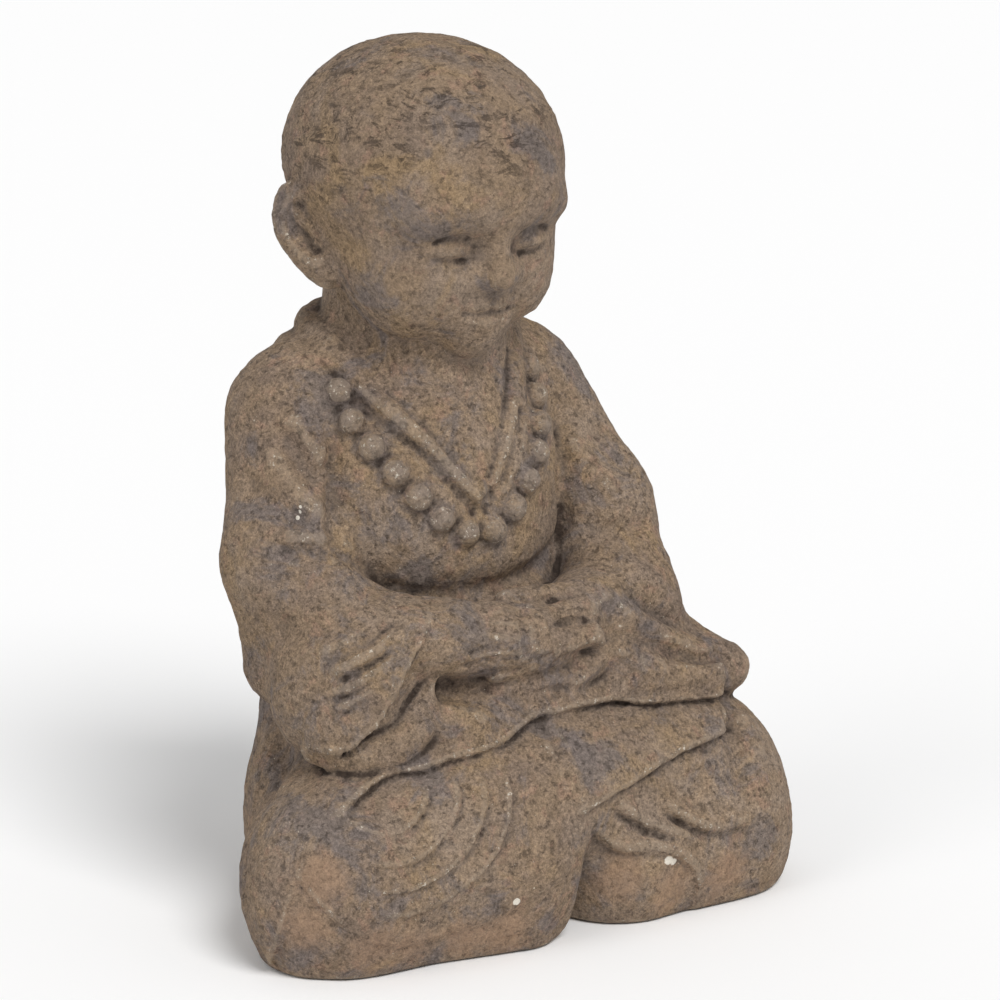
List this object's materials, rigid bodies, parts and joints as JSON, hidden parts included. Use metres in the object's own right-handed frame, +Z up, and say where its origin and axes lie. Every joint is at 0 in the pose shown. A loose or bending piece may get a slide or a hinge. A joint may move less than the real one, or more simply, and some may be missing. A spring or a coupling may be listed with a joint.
{
  "type": "seated monk statue",
  "caption": "Seated child monk statue in weathered brown cast stone, legs folded under a draped robe, bead necklace, hands joined in the lap, flat underside.",
  "frame": {"origin": "middle of the footprint's bounding box, on the ground", "axes": "+Z up, the figure faces -Y, its left hand is on the +X side"},
  "size_m": [0.3074, 0.1944, 0.4208],
  "materials": {
    "stone": "matte, weathered, with dirt in the folds and pale chips on the ridges"
  },
  "bodies": {
    "root": {"monk_statue": "stone"}
  },
  "joints": []
}
